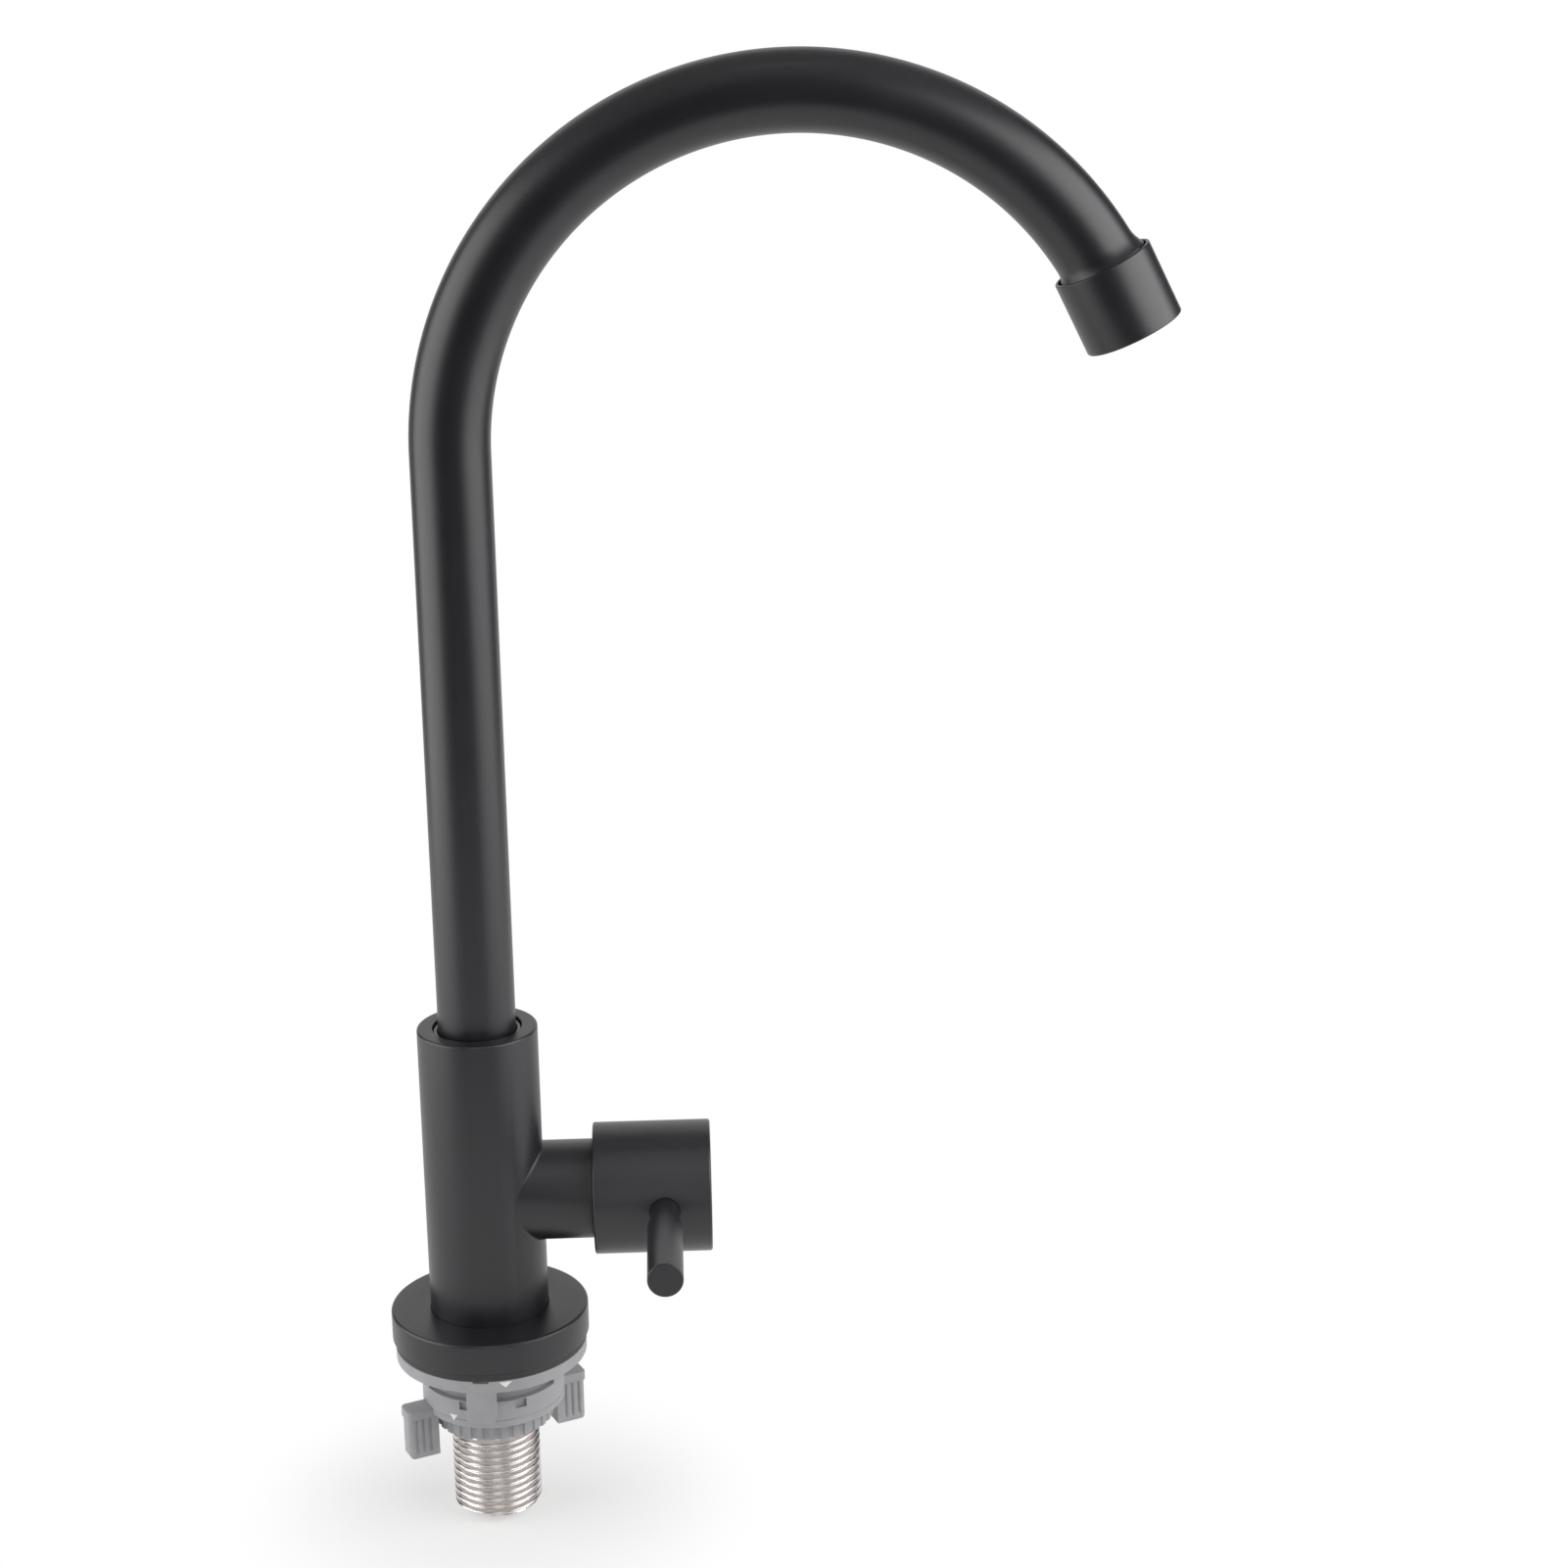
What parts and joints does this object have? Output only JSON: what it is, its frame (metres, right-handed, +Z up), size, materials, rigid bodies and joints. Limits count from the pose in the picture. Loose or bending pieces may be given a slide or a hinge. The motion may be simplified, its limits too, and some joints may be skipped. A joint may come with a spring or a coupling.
{
  "type": "kitchen faucet",
  "caption": "Single-lever kitchen tap with a swivelling gooseneck spout, a side valve with a pin lever, and a quick-fit wing nut on a threaded tail.",
  "frame": {"origin": "on the tap's vertical axis at the worktop's surface, which is the underside of the base gasket", "axes": "+Z up along the body and shank, +X towards the side valve and the spout's outlet at rest, -Y along the lever"},
  "size_m": [0.1835, 0.0745, 0.3412],
  "materials": {
    "matte_black": "satin black powder coat",
    "black_rubber": "matte",
    "grey_nylon": "moulded satin",
    "nickel_plate": "bright turned thread",
    "brass": "turned",
    "black_acetal": "moulded",
    "white_acetal": "moulded",
    "ceramic": "lapped",
    "screw_steel": "plain"
  },
  "bodies": {
    "tap_body": {"valve_body": "matte_black", "base_flange": "matte_black", "base_gasket": "black_rubber", "threaded_shank": "nickel_plate", "shank_o_ring": "black_rubber", "cartridge_body": "brass", "cartridge_o_ring": "black_rubber", "seat_seal": "black_rubber", "ceramic_disc_fixed": "ceramic", "spout_top_bush": "black_acetal"},
    "spout": {"spout_tube": "matte_black", "spout_base_sleeve": "brass", "spout_o_ring_lower": "black_rubber", "spout_o_ring_upper": "black_rubber", "spout_keeper_ring": "white_acetal", "aerator_collar": "matte_black", "aerator_washer": "black_rubber", "aerator_core": "white_acetal", "aerator_screen": "white_acetal"},
    "handle": {"knob": "matte_black", "lever_pin": "matte_black", "knob_grub_screw": "screw_steel", "spindle": "brass", "spindle_o_ring": "black_rubber", "spindle_clip": "screw_steel", "ceramic_disc_moving": "ceramic"},
    "clamp": {"clamp_plate": "grey_nylon"},
    "wing_nut": {"wing_ring": "grey_nylon", "thread_collet": "grey_nylon"}
  },
  "joints": [
    {"name": "spout_swivel", "type": "hinge", "parent": "tap_body", "child": "spout", "pos_m": [0, 0, 0.0795], "axis": [0, 0, 1], "continuous": true},
    {"name": "handle_turn", "type": "hinge", "parent": "tap_body", "child": "handle", "pos_m": [0.0423, 0, 0.0379], "axis": [-1, 0, 0], "range_deg": [0, 90]},
    {"name": "clamp_travel", "type": "slide", "parent": "tap_body", "child": "clamp", "axis": [0, 0, -1], "range_m": [0, 0.01814]},
    {"name": "nut_turn", "type": "hinge", "parent": "clamp", "child": "wing_nut", "pos_m": [0, 0, -0.012], "axis": [0, 0, -1], "range_deg": [0, 3600]}
  ],
  "couplings": [
    {"joint": "nut_turn", "follows": "clamp_travel", "rad_per_m": 3463.2}
  ]
}
